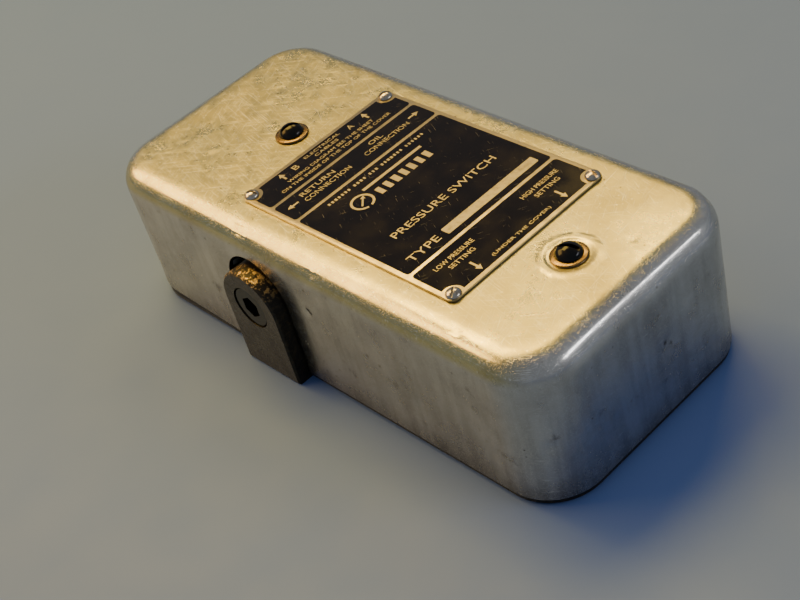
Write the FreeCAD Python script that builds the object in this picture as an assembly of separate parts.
import FreeCAD, Part
import math
import os

# Hydraulic two-stage pressure switch: an iron body with a piston, a lever and a range spring for
# the low and for the high pressure, two snap switches, and a deep-drawn cover with a name plate.
#
# Frame, millimetres: +Z up, origin at the centre of the footprint, on the surface it stands on.
# +X points to the end with the adjusting screws, -X to the end with the two cable entries.
# -Y is the side of the return connection, +Y the side of the pressure connection.

V = FreeCAD.Vector
X, Y, Z = V(1, 0, 0), V(0, 1, 0), V(0, 0, 1)

# ---- cover -------------------------------------------------------------------------------
cover_length = 168.0
cover_width = 77.0
cover_height = 44.0
cover_wall = 1.5
cover_corner_radius = 15.0
cover_top_fillet = 7.0
rim_relief = 2.2            # how far the rim has risen at the cable end
slot_clearance = 0.7        # between a boss and the slot in the cover's wall
slot_headroom = 3.0         # above the top of a boss

# ---- what shows under the rim ------------------------------------------------------------
pad_height = 0.8
flange_thickness = 1.0
gasket_thickness = 0.5
flange_inset = 0.4
spigot_clearance = 0.5
gasket_clearance = 0.05
floor_height = 6.0
pad_front_x = 6.0
pad_rear_gap = 6.0
pad_inset = 0.9

# ---- hydraulic block ---------------------------------------------------------------------
port_x = -19.0
port_height = 23.7
boss_radius = 11.2
boss_projection = 4.0
boss_edge = 0.6
port_thread_radius = 6.58   # G 1/4
port_thread_depth = 12.0
block_length = 31.0
block_side = 1.6            # iron beside a snap switch
mechanism_y = 15.0          # the two mechanisms stand side by side about the centreline
gallery_radius = 1.75
drain_radius = 1.25
gallery_offset = 4.0        # of the gallery and the drain, either way from the port's axis

# ---- cable entries -----------------------------------------------------------------------
entry_radius = 8.0          # M16
entry_y = 13.0
entry_height = 21.6
entry_rim = 3.4             # iron round a cable entry
entry_block_depth = 14.0

# ---- mounting threads in the underside, M6 -------------------------------------------------
mount_radius = 2.5
mount_depth = 10.0
mount_boss_radius = 6.2
mount_boss_top = 12.0
mount_end_gap = 18.0        # from a thread to the end of the cover
mount_spacing_y = 56.0
mount_centre_x = 0.0
foot_radius = 7.5

# ---- pistons, levers, springs --------------------------------------------------------------
piston_radius = 3.0
running_clearance = 0.03
sleeve_outer_radius = 5.0
press_gap = 0.02
piston_travel = 0.8
cup_lip = 1.5               # of the cup and the seat, outside the spring's mean radius
spigot_gap = 2.0            # from the spring's mean radius in to the spigot
cup_spigot_length = 6.0
neck_radius = 3.2
collar_radius = 5.5
lever_thickness = 1.2
lever_width = 12.0
lever_play = 0.6            # each side, in the groove of the cup
lever_hub_radius = 2.2
pivot_pin_radius = 1.25
pivot_above_block = 0.5
ear_thickness = 1.2
ear_half_gap = 7.5
bracket_thickness = 1.2
spring_mean_radius = 7.0
low_wire_radius = 0.9
high_wire_radius = 1.15
low_spring_turns = 9.5
high_spring_turns = 8.5
spring_length = 38.0        # between cup and seat at rest
seat_travel = 6.0           # either way from rest
seat_disc = 3.0
seat_nut = 7.0
seat_half_width = 7.0
tongue_width = 5.0
tongue_clearance = 0.12
rail_height = 5.0
rail_width = 2.2

# ---- adjusting screws and their wall -------------------------------------------------------
adjuster_radius = 4.0       # M8
adjuster_clearance = 0.05
adjuster_head_radius = 6.0
adjuster_head_length = 4.2
wall_end_gap = 16.5         # from the wall's inner face to the end of the cover
wall_thickness = 5.0
wall_side = 2.5             # steel outside the bore of an adjusting screw
wall_top = 36.0
wall_foot_length = 12.0
wall_foot_thickness = 3.0
wall_screw_x = 8.6          # from the wall's inner face
wall_screw_y = 6.5
collar_length = 3.0
stop_collar_radius = 6.8

# ---- snap switches -------------------------------------------------------------------------
switch_depth = 15.9
switch_width = 27.8
switch_thickness = 10.3
switch_front_x = -2.4
switch_headroom = 2.5       # under the cover's ceiling
switch_hole_spacing_x = 10.3
switch_hole_spacing_y = 22.2
button_radius = 1.5
terminal_width = 4.8
terminal_thickness = 0.8
terminal_length = 7.0
terminal_pitch = 8.8

# ---- terminal block ------------------------------------------------------------------------
wiring_room = 13.0          # between the cable entries and the terminal block
strip_depth = 12.0
strip_pitch = 10.5
strip_poles = 4
strip_height = 15.0
wire_hole_radius = 2.2

# ---- posts, cover screws -------------------------------------------------------------------
rear_post_x = -40.3
front_post_x = 62.3
post_radius = 4.5
post_spigot_radius = 2.5
post_gap = 0.05
cover_screw_radius = 2.0    # M4
cover_screw_length = 12.0
thread_gap = 0.03
cover_screw_hole = 2.2
screw_dome_radius = 3.6
screw_dome_height = 2.6
washer_radius = 4.9
washer_thickness = 0.7
clip_radius = 3.4
clip_thickness = 0.6
dimple_radius = 6.3
dimple_depth = 0.35

# ---- name plate ----------------------------------------------------------------------------
plate_length = 80.2
plate_width = 55.6
plate_thickness = 0.8
plate_corner_radius = 2.0
plate_centre_x = 10.3
plate_screw_spacing_x = 76.2
plate_screw_spacing_y = 51.0
plate_screw_head = 2.1
plate_screw_dome = 1.35
plate_screw_radius = 1.25
plate_screw_length = 4.0
diagram_length = 62.0
diagram_width = 42.0
diagram_thickness = 0.4

# ---- screws and small clearances, M2.5 and M3 ------------------------------------------------
small_shank = 1.22
small_bore = 1.25
small_clearance_hole = 1.6
screw_shank = 1.47
screw_bore = 1.5
clearance_hole = 1.7
bracket_screw_length = 6.5
bracket_screw_head = (2.6, 1.8)     # radius and height
floor_screw_length = 7.0
floor_screw_head = (2.8, 1.9)
switch_screw_bite = 5.0
switch_screw_head = (2.5, 1.4)
earth_screw_length = 5.0
earth_screw_head = (3.2, 2.2)
earth_washer_radius = 3.8
earth_washer_thickness = 1.0
terminal_screw_length = 3.8
terminal_screw_head = (2.1, 2.0)
strip_ledge = 6.4
strip_ledge_height = 3.5
strip_wire_height = 6.0
plug_length = 9.0
plug_set_back = 0.3
plug_chamfer = 0.5
plug_socket = 6.0
plug_socket_depth = 5.7
first_hole_height = 1.5             # of the blind holes in the floor
sleeve_back = 1.2
piston_back = 2.6
piston_tip_chamfer = 0.4
seal_groove_depth = 0.8
seal_groove_width = 1.6
seal_play = 0.05
drain_groove_depth = 0.5
cup_collar_length = 1.2
cup_shoulder_length = 1.3
cup_flange_thickness = 2.6
cup_nose_chamfer = 0.8
lever_foot = 3.0
lever_head = 3.4
lever_head_fillet = 3.0
lever_fork_play = 0.35
seat_spigot_length = 6.0

flange_top = pad_height + flange_thickness
rim_height = flange_top + gasket_thickness
cover_top = rim_height + cover_height
ceiling = cover_top - cover_wall
block_top = ceiling - switch_headroom - switch_thickness
mount_spacing_x = cover_length - 2 * mount_end_gap
block_half_width = mechanism_y + switch_width / 2 + block_side
boss_face_y = cover_width / 2 + boss_projection
block_front_x = port_x + block_length / 2
block_rear_x = port_x - block_length / 2
entry_face_x = -cover_length / 2 - boss_projection
entry_boss_radius = entry_radius + entry_rim
strip_x = entry_face_x + entry_block_depth + wiring_room + strip_depth / 2
wall_x = cover_length / 2 - wall_end_gap
wall_half_width = mechanism_y + adjuster_radius + wall_side
pivot_height = block_top + pivot_above_block
cup_radius = spring_mean_radius + cup_lip
cup_spigot_radius = spring_mean_radius - spigot_gap
bracket_face_x = block_front_x + bracket_thickness
cup_collar_x = bracket_face_x + 0.8
lever_x = cup_collar_x + cup_collar_length + lever_play + lever_thickness / 2
flange_x = lever_x + lever_thickness / 2 + lever_play + cup_shoulder_length
cup_face_x = flange_x + cup_flange_thickness
seat_x = cup_face_x + spring_length
adjuster_tip_x = seat_x - 2 * seat_travel
button_height = block_top + switch_thickness / 2


def save(node, shape):
    """Write one named node."""
    shape.exportStep("parts/" + node + ".step")


def box(x0, x1, y0, y1, z0, z1):
    """Box between two corners."""
    return Part.makeBox(x1 - x0, y1 - y0, z1 - z0, V(x0, y0, z0))


def rod(radius, length, start, direction):
    """Round bar from a start point along a direction."""
    return Part.makeCylinder(radius, length, start, direction)


def rounded_block(length, width, height, radius, base):
    """Upright block with rounded vertical corners, centred on the origin, standing at base."""
    body = box(-length / 2, length / 2, -width / 2, width / 2, base, base + height)
    corners = [e for e in body.Edges if abs(e.Vertexes[0].Z - e.Vertexes[-1].Z) > height / 2]
    return body.makeFillet(radius, corners)


def edges_at(shape, height, tolerance=0.001):
    """Edges that lie wholly at one height."""
    found = []
    for edge in shape.Edges:
        bounds = edge.BoundBox
        if abs(bounds.ZMin - height) < tolerance and abs(bounds.ZMax - height) < tolerance:
            found.append(edge)
    return found


def arch(centre_a, centre_b, radius, base, depth_axis, start, depth):
    """Slab with an arched top: sides straight down to base, round above the two centres.

    The centres are (across, height) pairs; depth_axis is X or Y, start and depth lie along it."""
    left, right = centre_a[0], centre_b[0]
    height = centre_a[1]
    if depth_axis == Y:
        lower = box(left - radius, right + radius, start, start + depth, base, height)
        middle = box(left, right, start, start + depth, base, height + radius) if right > left else None
        crowns = [rod(radius, depth, V(c, start, height), Y) for c in {left, right}]
    else:
        lower = box(start, start + depth, left - radius, right + radius, base, height)
        middle = box(start, start + depth, left, right, base, height + radius) if right > left else None
        crowns = [rod(radius, depth, V(start, c, height), X) for c in {left, right}]
    pieces = crowns + ([middle] if middle else [])
    return lower.multiFuse(pieces).removeSplitter()


def port_arch(grow, lift, base, start, depth):
    """The outline of a hydraulic boss, grown and lifted, as a slab along Y."""
    centre = (port_x, port_height + lift)
    return arch(centre, centre, boss_radius + grow, base, Y, start, depth)


def entry_arch(grow, lift, base, start, depth):
    """The outline of the cable-entry block, grown and lifted, as a slab along X."""
    height = entry_height + lift
    return arch((-entry_y, height), (entry_y, height), entry_boss_radius + grow, base, X, start, depth)


def wall_openings():
    """What is cut from the cover's walls for the two hydraulic bosses and the cable entries."""
    lift = slot_headroom - slot_clearance
    across = 2 * boss_face_y + 2
    side = port_arch(slot_clearance, lift, -1, -across / 2, across)
    middle = cover_width / 2 - 6
    side = side.cut(box(port_x - 40, port_x + 40, -middle, middle, -2, cover_top))
    end = entry_arch(slot_clearance, lift, -1, entry_face_x - 1, boss_projection + 8)
    return side.fuse(end)


def rim_wedge():
    """Wedge between the straight rim and the relieved rim, from the bosses to the cable end."""
    start = port_x - boss_radius
    end = -cover_length / 2
    profile = Part.makePolygon([V(start, 0, rim_height), V(end, 0, rim_height),
                                V(end, 0, rim_height + rim_relief), V(start, 0, rim_height)])
    wedge = Part.Face(profile).extrude(V(0, cover_width + 4, 0))
    wedge.translate(V(0, -cover_width / 2 - 2, 0))
    return wedge


def mount_points():
    """Places of the four mounting threads."""
    half_x, half_y = mount_spacing_x / 2, mount_spacing_y / 2
    return [(mount_centre_x + i * half_x, j * half_y) for i in (-1, 1) for j in (-1, 1)]


def plate_screw_points():
    """Places of the four name-plate screws."""
    half_x, half_y = plate_screw_spacing_x / 2, plate_screw_spacing_y / 2
    return [(plate_centre_x + i * half_x, j * half_y) for i in (-1, 1) for j in (-1, 1)]


def switch_screw_points(side):
    """Two fixing screws of a snap switch, on its diagonal."""
    centre_x = switch_front_x - switch_depth / 2
    half_x, half_y = switch_hole_spacing_x / 2, switch_hole_spacing_y / 2
    return [(centre_x + i * half_x, side * (mechanism_y + i * half_y)) for i in (1, -1)]


def bracket_screw_points():
    """Places (y, z) of the four screws of the lever bracket."""
    heights = (port_height - 6.0, port_height + 1.0)
    return [(j * (block_half_width - 3.6), z) for j in (-1, 1) for z in heights]


def strip_screw_points():
    """Places (x, y) of the two screws that hold the terminal block."""
    reach = strip_poles * strip_pitch / 2 + 3.2
    return [(strip_x, -reach), (strip_x, reach)]


def earth_point():
    """Place of the earth screw in the floor."""
    return (strip_x + 12.0, -mechanism_y - 8.0)


def wall_screw_points():
    """Places (x, y) of the two screws that hold the spring bracket."""
    return [(wall_x + wall_screw_x, -wall_screw_y), (wall_x + wall_screw_x, wall_screw_y)]


def post_points():
    """Where the two cover posts stand."""
    return [rear_post_x, front_post_x]


# ---- root body -------------------------------------------------------------------------------
def base_casting():
    """Flange, floor, hydraulic block with both bosses and cable-entry block in one iron casting."""
    flange = rounded_block(cover_length - 2 * flange_inset, cover_width - 2 * flange_inset, flange_thickness,
                           cover_corner_radius - flange_inset, pad_height)
    inset = cover_wall + spigot_clearance
    spigot = rounded_block(cover_length - 2 * inset, cover_width - 2 * inset, floor_height - flange_top,
                           cover_corner_radius - inset, flange_top)
    pad_rear = -cover_length / 2 + pad_rear_gap
    pad = rounded_block(cover_length - 2 * pad_inset, cover_width - 2 * pad_inset, pad_height,
                        cover_corner_radius - pad_inset, 0)
    pad = pad.common(box(pad_rear, pad_front_x, -cover_width, cover_width, 0, pad_height))
    block = box(block_rear_x, block_front_x, -block_half_width, block_half_width, floor_height, block_top)
    casting = flange.multiFuse([spigot, pad, block])
    for side in (-1, 1):
        inner = block_half_width - 1.0
        start = inner if side > 0 else -boss_face_y
        boss = port_arch(0, 0, 0, start, boss_face_y - inner)
        face = side * boss_face_y
        rims = [e for e in boss.Edges if abs(e.BoundBox.YMin - face) + abs(e.BoundBox.YMax - face) < 0.02]
        casting = casting.fuse(boss.makeChamfer(boss_edge, rims))
    entry = entry_arch(0, 0, 0, entry_face_x, entry_block_depth)
    rims = [e for e in entry.Edges if e.BoundBox.XMax - entry_face_x < 0.01]
    casting = casting.fuse(entry.makeChamfer(boss_edge, rims))
    for side in (-1, 1):
        for edge in (-1, 1):
            inner = side * mechanism_y + edge * (tongue_width / 2 + tongue_clearance)
            outer = inner + edge * rail_width
            rail = box(seat_x - seat_travel - 2, wall_x - 1, min(inner, outer), max(inner, outer),
                       floor_height - 0.5, floor_height + rail_height)
            casting = casting.fuse(rail)
    for x, y in mount_points():
        casting = casting.fuse(rod(mount_boss_radius, mount_boss_top - pad_height, V(x, y, pad_height), Z))
        casting = casting.fuse(rod(foot_radius, pad_height, V(x, y, 0), Z))
    return casting.cut(base_bores()).removeSplitter()


def base_bores():
    """Every hole in the casting."""
    holes = []
    for side in (-1, 1):
        holes.append(rod(port_thread_radius, port_thread_depth + 1,
                         V(port_x, side * (boss_face_y + 1), port_height), V(0, -side, 0)))
        holes.append(rod(entry_radius, entry_block_depth + 2,
                         V(entry_face_x - 1, side * entry_y, entry_height), X))
        axis_y = side * mechanism_y
        sleeve_rear = port_x - sleeve_back
        holes.append(rod(sleeve_outer_radius + press_gap, block_front_x - sleeve_rear + 1,
                         V(sleeve_rear, axis_y, port_height), X))
        pressure_end = port_x - gallery_offset - gallery_radius - 1
        holes.append(rod(piston_radius + running_clearance, sleeve_rear - pressure_end + 1,
                         V(pressure_end, axis_y, port_height), X))
        for x, y in switch_screw_points(side):
            holes.append(rod(small_bore, 6.0, V(x, y, block_top - 5.5), Z))
    port_floor = boss_face_y - port_thread_depth
    holes.append(rod(gallery_radius, port_floor + mechanism_y + piston_radius,
                     V(port_x - gallery_offset, port_floor + 0.5, port_height), V(0, -1, 0)))
    holes.append(rod(drain_radius, port_floor + mechanism_y + piston_radius,
                     V(port_x + gallery_offset, -port_floor - 0.5, port_height), Y))
    for x, y in mount_points():
        holes.append(rod(mount_radius, mount_depth + 1, V(x, y, -1), Z))
    for y, z in bracket_screw_points():
        holes.append(rod(small_bore, bracket_screw_length + 0.5,
                         V(block_front_x - bracket_screw_length, y, z), X))
    for x in post_points():
        holes.append(rod(post_spigot_radius + press_gap, floor_height, V(x, 0, first_hole_height), Z))
    for x, y in strip_screw_points() + [earth_point()] + wall_screw_points():
        holes.append(rod(screw_bore, floor_height, V(x, y, first_hole_height), Z))
    return holes[0].multiFuse(holes[1:])


def cover_gasket():
    """Strip between flange and rim, thicker where the rim is relieved, open at the bosses."""
    inset = cover_wall + spigot_clearance - gasket_clearance
    tall = gasket_thickness + rim_relief
    outer = rounded_block(cover_length - 2 * flange_inset, cover_width - 2 * flange_inset, tall,
                          cover_corner_radius - flange_inset, flange_top)
    inner = rounded_block(cover_length - 2 * inset, cover_width - 2 * inset, tall + 2,
                          cover_corner_radius - inset, flange_top - 1)
    level = box(-cover_length, cover_length, -cover_width, cover_width, 0, rim_height)
    ring = outer.cut(inner).common(level.fuse(rim_wedge()))
    bosses = port_arch(gasket_clearance, 0, -1, -cover_width, 2 * cover_width)
    entry = entry_arch(gasket_clearance, 0, -1, entry_face_x - 1, entry_block_depth)
    return ring.cut(bosses).cut(entry)


def hexagon_prism(across_flats, length, start, axis):
    """Six-sided bar or socket along Y."""
    corner = across_flats / 2 / math.cos(math.pi / 6)
    points = []
    for i in range(7):
        turn = math.pi / 3 * i + math.pi / 6
        points.append(V(start.x + corner * math.cos(turn), start.y, start.z + corner * math.sin(turn)))
    return Part.Face(Part.makePolygon(points)).extrude(axis * length)


def return_port_plug():
    """Flush plug with a hexagon socket in the return connection."""
    plug = rod(port_thread_radius - thread_gap, plug_length,
               V(port_x, -boss_face_y + plug_set_back, port_height), Y)
    rims = [e for e in plug.Edges if e.BoundBox.YLength < 0.01]
    plug = plug.makeChamfer(plug_chamfer, rims)
    socket = hexagon_prism(plug_socket, plug_socket_depth + plug_set_back,
                           V(port_x, -boss_face_y + plug_set_back - 1, port_height), Y)
    return plug.cut(socket)


def cover_posts():
    """Two studs that the cover is screwed to."""
    posts = []
    for x in post_points():
        top = ceiling - post_gap - clip_thickness - 0.3
        post = rod(post_radius, top - floor_height, V(x, 0, floor_height), Z)
        post = post.fuse(rod(post_spigot_radius, floor_height - 1.8, V(x, 0, 1.8), Z))
        posts.append(post.cut(rod(cover_screw_radius + thread_gap, 14.0, V(x, 0, top - 13.0), Z)))
    return Part.makeCompound(posts)


def piston_sleeve(side):
    """Bronze liner pressed into the block, crossed by the drain."""
    rear = port_x - sleeve_back
    start = V(rear, side * mechanism_y, port_height)
    sleeve = rod(sleeve_outer_radius, block_front_x - rear, start, X)
    bore = rod(piston_radius + running_clearance, block_front_x - rear + 2, start - X, X)
    drain = rod(drain_radius, 4 * sleeve_outer_radius,
                V(port_x + gallery_offset, side * mechanism_y - 2 * sleeve_outer_radius, port_height), Y)
    return sleeve.cut(bore).cut(drain)


def lever_bracket():
    """Steel plate on the front of the block, with a pair of ears for each lever."""
    z0, z1 = port_height - 8.7, block_top - 0.2
    plate = box(block_front_x, bracket_face_x, -block_half_width + 0.5, block_half_width - 0.5, z0, z1)
    solids = []
    cuts = []
    pin_gap = 0.02
    for side in (-1, 1):
        for edge in (-1, 1):
            inner = side * mechanism_y + edge * ear_half_gap
            outer = inner + edge * ear_thickness
            y0, y1 = min(inner, outer), max(inner, outer)
            tip = lever_x + lever_hub_radius
            solids.append(box(block_front_x, tip, y0, y1, pivot_height - 4.2, z1))
            solids.append(box(lever_x - 2.6, tip, y0, y1, z1 - 0.5, pivot_height + 2.6))
        cuts.append(rod(collar_radius + 0.8, 10, V(block_front_x - 1, side * mechanism_y, port_height), X))
    for side in (-1, 1):
        start = V(lever_x, side * mechanism_y - ear_half_gap - 2, pivot_height)
        cuts.append(rod(pivot_pin_radius + pin_gap, 2 * ear_half_gap + 4, start, Y))
    for y, z in bracket_screw_points():
        cuts.append(rod(small_clearance_hole, 6, V(block_front_x - 1, y, z), X))
    return plate.multiFuse(solids).cut(cuts[0].multiFuse(cuts[1:])).removeSplitter()


def spring_bracket():
    """Steel angle whose wall carries both adjusting screws, notched round the mounting bosses."""
    half = wall_half_width
    wall = box(wall_x, wall_x + wall_thickness, -half, half, floor_height, wall_top)
    corners = [e for e in wall.Edges if e.BoundBox.ZMin > wall_top - 0.01 and e.BoundBox.YLength < 0.01]
    wall = wall.makeFillet(5.0, corners)
    foot = box(wall_x, wall_x + wall_foot_length, -half, half,
               floor_height, floor_height + wall_foot_thickness)
    angle = wall.fuse(foot)
    for side in (-1, 1):
        angle = angle.cut(rod(adjuster_radius + adjuster_clearance, wall_thickness + 2,
                              V(wall_x - 1, side * mechanism_y, port_height), X))
    for x, y in wall_screw_points():
        angle = angle.cut(rod(clearance_hole, 6, V(x, y, floor_height - 1), Z))
    for x, y in mount_points():
        angle = angle.cut(rod(mount_boss_radius + 0.3, mount_boss_top, V(x, y, 0.3), Z))
    return angle.removeSplitter()


def slotted_screw(radius, length, head_radius, head_height, seat, direction, slot_width=0.9):
    """Cheese-head screw: seat is the point under its head, direction points out of the head."""
    shank = rod(radius, length, seat - direction * length, direction)
    head = rod(head_radius, head_height, seat, direction)
    rims = [e for e in head.Edges if e.Curve.TypeId == "Part::GeomCircle"
            and (e.Curve.Center - seat).dot(direction) > head_height / 2]
    head = head.makeChamfer(min(0.3, head_height / 4), rims)
    across = Y if abs(direction.y) < 0.5 else X
    side = direction.cross(across)
    half = across * (head_radius + 1) + side * (slot_width / 2)
    corner = seat + direction * (head_height * 0.55) - half
    corners = [corner, corner + across * 2 * (head_radius + 1), V(0, 0, 0), V(0, 0, 0)]
    corners[2] = corners[1] + side * slot_width
    corners[3] = corner + side * slot_width
    slot = Part.Face(Part.makePolygon(corners + [corner])).extrude(direction * head_height)
    return shank.fuse(head).cut(slot)


def bracket_screws():
    """Four screws that hold the lever bracket."""
    seats = [V(bracket_face_x, y, z) for y, z in bracket_screw_points()]
    return Part.makeCompound([slotted_screw(small_shank, bracket_screw_length, *bracket_screw_head, seat, X)
                              for seat in seats])


def spring_bracket_screws():
    """Two screws that hold the spring bracket to the floor."""
    seats = [V(x, y, floor_height + wall_foot_thickness) for x, y in wall_screw_points()]
    return Part.makeCompound([slotted_screw(screw_shank, floor_screw_length, *floor_screw_head, seat, Z)
                              for seat in seats])


def pivot_pins():
    """Pin of each lever, riveted over outside the ears."""
    pins = []
    for side in (-1, 1):
        half = ear_half_gap + ear_thickness + 0.6
        start = V(lever_x, side * mechanism_y - half, pivot_height)
        pins.append(rod(pivot_pin_radius, 2 * half, start, Y))
    return Part.makeCompound(pins)


def switch_body(side):
    """Moulded case of a snap switch, lying on the block."""
    y = side * mechanism_y
    body = box(switch_front_x - switch_depth, switch_front_x, y - switch_width / 2, y + switch_width / 2,
               block_top, block_top + switch_thickness)
    upright = [e for e in body.Edges if e.BoundBox.ZLength > switch_thickness / 2]
    body = body.makeFillet(1.2, upright)
    for x, hole_y in switch_screw_points(side):
        body = body.cut(rod(small_clearance_hole, switch_thickness + 2, V(x, hole_y, block_top - 1), Z))
    well = rod(button_radius + 0.05, 3.4, V(switch_front_x - 2.4, y, button_height), X)
    return body.cut(well)


def switch_terminals(side):
    """Common, opening and closing blades."""
    blades = []
    rear = switch_front_x - switch_depth
    for i in (-1, 0, 1):
        y = side * mechanism_y + i * terminal_pitch
        blade = box(rear - terminal_length, rear, y - terminal_width / 2, y + terminal_width / 2,
                    button_height - terminal_thickness / 2, button_height + terminal_thickness / 2)
        corners = [e for e in blade.Edges if e.BoundBox.ZLength > 0.1 and e.BoundBox.XMax < rear - 1]
        blade = blade.makeChamfer(1.0, corners)
        hole = rod(0.9, 4, V(rear - terminal_length + 2.4, y, button_height - 2), Z)
        blades.append(blade.cut(hole))
    return Part.makeCompound(blades)


def switch_screws():
    """Four screws that hold both snap switches."""
    screws = []
    for side in (-1, 1):
        for x, y in switch_screw_points(side):
            seat = V(x, y, block_top + switch_thickness)
            screws.append(slotted_screw(small_shank, switch_thickness + switch_screw_bite,
                                        *switch_screw_head, seat, Z))
    return Part.makeCompound(screws)


def terminal_strip():
    """Moulded terminal block with a through hole and a screw well for each pole."""
    half = strip_poles * strip_pitch / 2
    body = box(strip_x - strip_depth / 2, strip_x + strip_depth / 2, -half, half,
               floor_height, floor_height + strip_height)
    ledge = box(strip_x - 4, strip_x + 4, -half - strip_ledge, half + strip_ledge,
                floor_height, floor_height + strip_ledge_height)
    body = body.fuse(ledge)
    for y in strip_poles_y():
        body = body.cut(rod(wire_hole_radius + 0.8, strip_depth + 2,
                            V(strip_x - strip_depth / 2 - 1, y, floor_height + strip_wire_height), X))
        body = body.cut(rod(2.3, strip_height, V(strip_x, y, floor_height + strip_wire_height), Z))
    for x, y in strip_screw_points():
        body = body.cut(rod(clearance_hole, 6, V(x, y, floor_height - 1), Z))
    return body.removeSplitter()


def strip_poles_y():
    """Place of each pole across the terminal block."""
    return [(i - (strip_poles - 1) / 2) * strip_pitch for i in range(strip_poles)]


def terminal_clamps():
    """Brass tubes that the wires go into."""
    clamps = []
    for y in strip_poles_y():
        outer = wire_hole_radius + 0.75
        start = V(strip_x - strip_depth / 2 + 1, y, floor_height + strip_wire_height)
        tube = rod(outer, strip_depth - 2, start, X)
        tube = tube.cut(rod(wire_hole_radius, strip_depth + 2, start - X * 2, X))
        clamps.append(tube.cut(rod(screw_bore + 0.05, 6, V(strip_x, y, floor_height + strip_wire_height), Z)))
    return Part.makeCompound(clamps)


def terminal_screws():
    """Grub screws that press the wires down."""
    screws = []
    for y in strip_poles_y():
        seat = V(strip_x, y, floor_height + 11.2)
        screws.append(slotted_screw(screw_bore, terminal_screw_length, *terminal_screw_head, seat, Z))
    return Part.makeCompound(screws)


def strip_screws():
    """Two screws that hold the terminal block."""
    seats = [V(x, y, floor_height + strip_ledge_height) for x, y in strip_screw_points()]
    return Part.makeCompound([slotted_screw(screw_shank, floor_screw_length, *floor_screw_head, seat, Z)
                              for seat in seats])


def earth_screw():
    """Earth screw with a serrated washer, standing on the floor."""
    x, y = earth_point()
    seat = V(x, y, floor_height + earth_washer_thickness)
    screw = slotted_screw(screw_shank, earth_screw_length, *earth_screw_head, seat, Z)
    washer = rod(earth_washer_radius, earth_washer_thickness, V(x, y, floor_height), Z)
    return screw.fuse(washer.cut(rod(1.3, 3, V(x, y, floor_height - 1), Z)))


# ---- moving bodies ---------------------------------------------------------------------------
def piston(side):
    """Ground piston with a seal groove and a drain groove."""
    axis_y = side * mechanism_y
    rear = port_x - piston_back
    bar = rod(piston_radius, cup_collar_x - rear, V(rear, axis_y, port_height), X)
    tip = [e for e in bar.Edges if e.BoundBox.XMin > cup_collar_x - 0.01]
    bar = bar.makeChamfer(piston_tip_chamfer, tip)
    groove = ring_bar(piston_radius + 1, piston_radius - seal_groove_depth, seal_groove_width,
                      V(port_x, axis_y, port_height))
    drain_start = port_x + gallery_offset - drain_radius - drain_groove_depth
    drain = ring_bar(piston_radius + 1, piston_radius - drain_groove_depth,
                     2 * (drain_radius + drain_groove_depth) + piston_travel,
                     V(drain_start - piston_travel, axis_y, port_height))
    return bar.cut(groove).cut(drain)


def ring_bar(outer, inner, length, start):
    """Tube along X."""
    tube = rod(outer, length, start, X)
    return tube.cut(rod(inner, length + 2, start - X, X))


def piston_seal(side):
    """O-ring in the piston's groove."""
    start = V(port_x + seal_play, side * mechanism_y, port_height)
    return ring_bar(piston_radius, piston_radius - seal_groove_depth + 0.02,
                    seal_groove_width - 2 * seal_play, start)


def push_cup(side):
    """Cup that the piston pushes: collar, neck for the lever's fork, second collar, flange and spigot."""
    axis_y = side * mechanism_y

    def disc(radius, start, end):
        return rod(radius, end - start, V(start, axis_y, port_height), X)

    groove_start = cup_collar_x + cup_collar_length
    groove_end = flange_x - cup_shoulder_length
    cup = disc(collar_radius, cup_collar_x, groove_start)
    cup = cup.fuse(disc(neck_radius, groove_start - 0.2, groove_end + 0.2))
    cup = cup.fuse(disc(collar_radius, groove_end, flange_x))
    cup = cup.fuse(disc(cup_radius, flange_x, cup_face_x))
    spigot = disc(cup_spigot_radius, cup_face_x - 0.2, cup_face_x + cup_spigot_length)
    nose = [e for e in spigot.Edges if e.BoundBox.XMin > cup_face_x + cup_spigot_length - 0.01]
    return cup.fuse(spigot.makeChamfer(cup_nose_chamfer, nose)).removeSplitter()


def lever(side):
    """Flat lever: forked foot in the cup's groove, hub on its pin, top that meets the button."""
    axis_y = side * mechanism_y
    half = lever_width / 2
    x0, x1 = lever_x - lever_thickness / 2, lever_x + lever_thickness / 2
    plate = box(x0, x1, axis_y - half, axis_y + half, port_height - lever_foot, button_height + lever_head)
    tops = [e for e in plate.Edges if e.BoundBox.ZMin > button_height + 3 and e.BoundBox.YLength < 0.01]
    plate = plate.makeFillet(lever_head_fillet, tops)
    hub = rod(lever_hub_radius, lever_width, V(lever_x, axis_y - half, pivot_height), Y)
    body = plate.fuse(hub)
    body = body.cut(rod(pivot_pin_radius + running_clearance, lever_width + 2,
                        V(lever_x, axis_y - half - 1, pivot_height), Y))
    gap = neck_radius + lever_fork_play
    fork = box(x0 - 1, x1 + 1, axis_y - gap, axis_y + gap, port_height - lever_foot - 1, port_height)
    fork = fork.fuse(rod(gap, lever_thickness + 2, V(x0 - 1, axis_y, port_height), X))
    return body.cut(fork)


def switch_button(side):
    """Domed plunger of a snap switch."""
    gap = 0.03
    contact = lever_x - lever_thickness / 2 - gap
    y = side * mechanism_y
    stem_end = contact - button_radius * 0.6
    stem = rod(button_radius, stem_end - (switch_front_x - 1.6), V(switch_front_x - 1.6, y, button_height), X)
    dome_radius = button_radius * 1.8
    dome = Part.makeSphere(dome_radius, V(contact - dome_radius, y, button_height))
    bar = rod(button_radius, 4.0, V(stem_end - 0.1, y, button_height), X)
    return stem.fuse(dome.common(bar))


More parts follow.
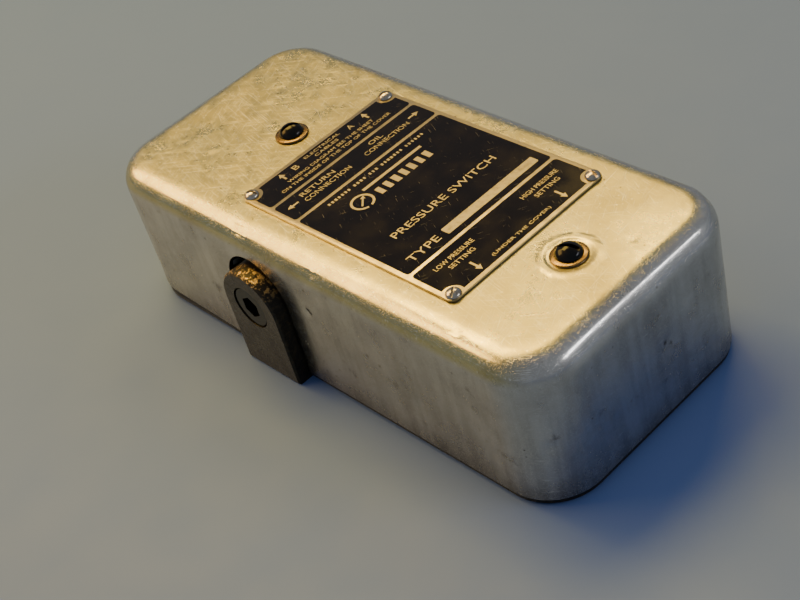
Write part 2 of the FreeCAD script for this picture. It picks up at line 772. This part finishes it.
def range_spring(side, wire_radius, turns):
    """Coiled compression spring between the cup and its seat."""
    start, end = cup_face_x + wire_radius + 0.02, seat_x - wire_radius - 0.02
    pitch = (end - start) / turns
    helix = Part.makeHelix(pitch, end - start, spring_mean_radius)
    section = Part.Wire([Part.makeCircle(wire_radius, V(spring_mean_radius, 0, 0), Y)])
    coil = Part.Wire(helix.Edges).makePipeShell([section], True, True)
    coil = coil.removeSplitter() if coil.isValid() else coil
    coil.rotate(V(0, 0, 0), Y, 90)
    coil.translate(V(start, side * mechanism_y, port_height))
    return coil


def spring_seat(side):
    """Threaded seat that holds the spring's far end and slides on its tongue as the screw turns."""
    axis_y = side * mechanism_y
    disc = rod(cup_radius, seat_disc, V(seat_x, axis_y, port_height), X)
    spigot = rod(cup_spigot_radius, seat_spigot_length + 0.2,
                 V(seat_x - seat_spigot_length, axis_y, port_height), X)
    x0, x1 = seat_x + seat_disc - 0.2, seat_x + seat_disc + seat_nut
    nut = box(x0, x1, axis_y - seat_half_width, axis_y + seat_half_width,
              port_height - seat_half_width, port_height + seat_half_width)
    tongue = box(seat_x + seat_disc, x1, axis_y - tongue_width / 2, axis_y + tongue_width / 2,
                 floor_height + 0.3, port_height - seat_half_width + 1)
    seat = disc.multiFuse([spigot, nut, tongue])
    thread = rod(adjuster_radius + adjuster_clearance, 30, V(seat_x - 8, axis_y, port_height), X)
    return seat.cut(thread).removeSplitter()


def adjusting_screw(side):
    """Long screw with a slotted head outside the wall."""
    seat = V(wall_x + wall_thickness + 0.05, side * mechanism_y, port_height)
    length = seat.x - adjuster_tip_x
    return slotted_screw(adjuster_radius, length, adjuster_head_radius, adjuster_head_length, seat, X, 1.6)


def screw_collar(side):
    """Collar pinned to the screw inside the wall, so that the screw can only turn."""
    start = V(wall_x - collar_length - 0.05, side * mechanism_y, port_height)
    collar = rod(stop_collar_radius, collar_length, start, X)
    collar = collar.cut(rod(adjuster_radius + 0.01, collar_length + 2, start - X, X))
    pin_hole = rod(0.8, stop_collar_radius, start + V(collar_length / 2, 0, adjuster_radius), Z)
    return collar.cut(pin_hole)


# ---- cover body ------------------------------------------------------------------------------
def cover_shell():
    """Deep-drawn box with a rounded top edge, slots for the bosses and dimples for its screws."""
    outer = rounded_block(cover_length, cover_width, cover_height, cover_corner_radius, rim_height)
    outer = outer.makeFillet(cover_top_fillet, edges_at(outer, cover_top))
    inner = rounded_block(cover_length - 2 * cover_wall, cover_width - 2 * cover_wall, cover_height,
                          cover_corner_radius - cover_wall, rim_height - cover_wall)
    inner = inner.makeFillet(cover_top_fillet - cover_wall, edges_at(inner, ceiling))
    shell = outer.cut(inner).cut(wall_openings()).cut(rim_wedge())
    for x in post_points():
        shell = shell.cut(rod(cover_screw_hole, 6, V(x, 0, ceiling - 2), Z))
    dimple = rod(dimple_radius, 2, V(front_post_x, 0, cover_top - dimple_depth), Z)
    shell = shell.cut(dimple)
    for x, y in plate_screw_points():
        shell = shell.cut(rod(plate_screw_radius + thread_gap, 6, V(x, y, ceiling - 2), Z))
    return shell.removeSplitter()


def name_plate():
    """Plate on top of the cover."""
    plate = rounded_block(plate_length, plate_width, plate_thickness, plate_corner_radius, cover_top)
    plate.translate(V(plate_centre_x, 0, 0))
    for x, y in plate_screw_points():
        plate = plate.cut(rod(plate_screw_radius + 0.15, 4, V(x, y, cover_top - 1), Z))
    return plate


def domed_screw(x, y, seat_height, radius, length, head_radius, dome_height, slot_width, slot_turn):
    """Round-head screw with its slot turned by an angle in degrees."""
    shank = rod(radius, length, V(x, y, seat_height - length), Z)
    band = dome_height * 0.25
    ball = (head_radius ** 2 + (dome_height - band) ** 2) / (2 * (dome_height - band))
    dome = Part.makeSphere(ball, V(x, y, seat_height + dome_height - ball))
    head = dome.common(rod(head_radius, dome_height, V(x, y, seat_height), Z))
    slot = box(-head_radius - 1, head_radius + 1, -slot_width / 2, slot_width / 2,
               seat_height + dome_height * 0.45, seat_height + dome_height + 1)
    slot.rotate(V(0, 0, 0), Z, slot_turn)
    slot.translate(V(x, y, 0))
    return shank.fuse(head).cut(slot).removeSplitter()


def name_plate_screws():
    """Four slotted round-head screws, each left with its slot at its own angle."""
    screws = []
    for i, (x, y) in enumerate(plate_screw_points()):
        screws.append(domed_screw(x, y, cover_top + plate_thickness, plate_screw_radius, plate_screw_length,
                                  plate_screw_head, plate_screw_dome, 0.55, 20 + 50 * i))
    return Part.makeCompound(screws)


def screw_seat(x):
    """Height of the cover's top under a cover screw."""
    return cover_top - dimple_depth if x == front_post_x else cover_top


def cover_screws():
    """Two captive screws of the cover."""
    screws = []
    for x, turn in zip(post_points(), (70, 22)):
        screws.append(domed_screw(x, 0, screw_seat(x) + washer_thickness, cover_screw_radius,
                                  cover_screw_length, screw_dome_radius, screw_dome_height, 1.1, turn))
    return Part.makeCompound(screws)


def cover_screw_washers():
    """Sealing washer under each cover screw."""
    washers = []
    for x in post_points():
        washer = rod(washer_radius, washer_thickness, V(x, 0, screw_seat(x)), Z)
        rims = [e for e in washer.Edges if e.BoundBox.ZMin > screw_seat(x) + washer_thickness / 2]
        washer = washer.makeChamfer(0.2, rims)
        washers.append(washer.cut(rod(cover_screw_radius + 0.06, 4, V(x, 0, screw_seat(x) - 1), Z)))
    return Part.makeCompound(washers)


def cover_screw_clips():
    """Spring washer that keeps each cover screw in the cover."""
    clips = []
    for x in post_points():
        clip = rod(clip_radius, clip_thickness, V(x, 0, ceiling - clip_thickness - 0.02), Z)
        clips.append(clip.cut(rod(cover_screw_radius + 0.01, 4, V(x, 0, ceiling - 2), Z)))
    return Part.makeCompound(clips)


def diagram_plate():
    """Thin sheet with the wiring diagram, glued under the cover's top."""
    plate = rounded_block(diagram_length, diagram_width, diagram_thickness, 2.0, ceiling - diagram_thickness)
    plate.translate(V(plate_centre_x, 0, 0))
    return plate


def main():
    os.makedirs("parts", exist_ok=True)
    save("base_casting", base_casting())
    save("cover_gasket", cover_gasket())
    save("return_port_plug", return_port_plug())
    save("cover_posts", cover_posts())
    save("lever_bracket", lever_bracket())
    save("bracket_screws", bracket_screws())
    save("spring_bracket", spring_bracket())
    save("spring_bracket_screws", spring_bracket_screws())
    save("pivot_pins", pivot_pins())
    save("switch_screws", switch_screws())
    save("terminal_strip", terminal_strip())
    save("terminal_clamps", terminal_clamps())
    save("terminal_screws", terminal_screws())
    save("strip_screws", strip_screws())
    save("earth_screw", earth_screw())
    springs = {"low": (low_wire_radius, low_spring_turns), "high": (high_wire_radius, high_spring_turns)}
    for name, side in (("low", -1), ("high", 1)):
        save(name + "_piston_sleeve", piston_sleeve(side))
        save(name + "_switch_body", switch_body(side))
        save(name + "_switch_terminals", switch_terminals(side))
        save(name + "_piston", piston(side))
        save(name + "_piston_seal", piston_seal(side))
        save(name + "_push_cup", push_cup(side))
        save(name + "_lever", lever(side))
        save(name + "_switch_button", switch_button(side))
        save(name + "_range_spring", range_spring(side, *springs[name]))
        save(name + "_spring_seat", spring_seat(side))
        save(name + "_adjusting_screw", adjusting_screw(side))
        save(name + "_screw_collar", screw_collar(side))
    save("cover_shell", cover_shell())
    save("name_plate", name_plate())
    save("name_plate_screws", name_plate_screws())
    save("cover_screws", cover_screws())
    save("cover_screw_washers", cover_screw_washers())
    save("cover_screw_clips", cover_screw_clips())
    save("diagram_plate", diagram_plate())


main()
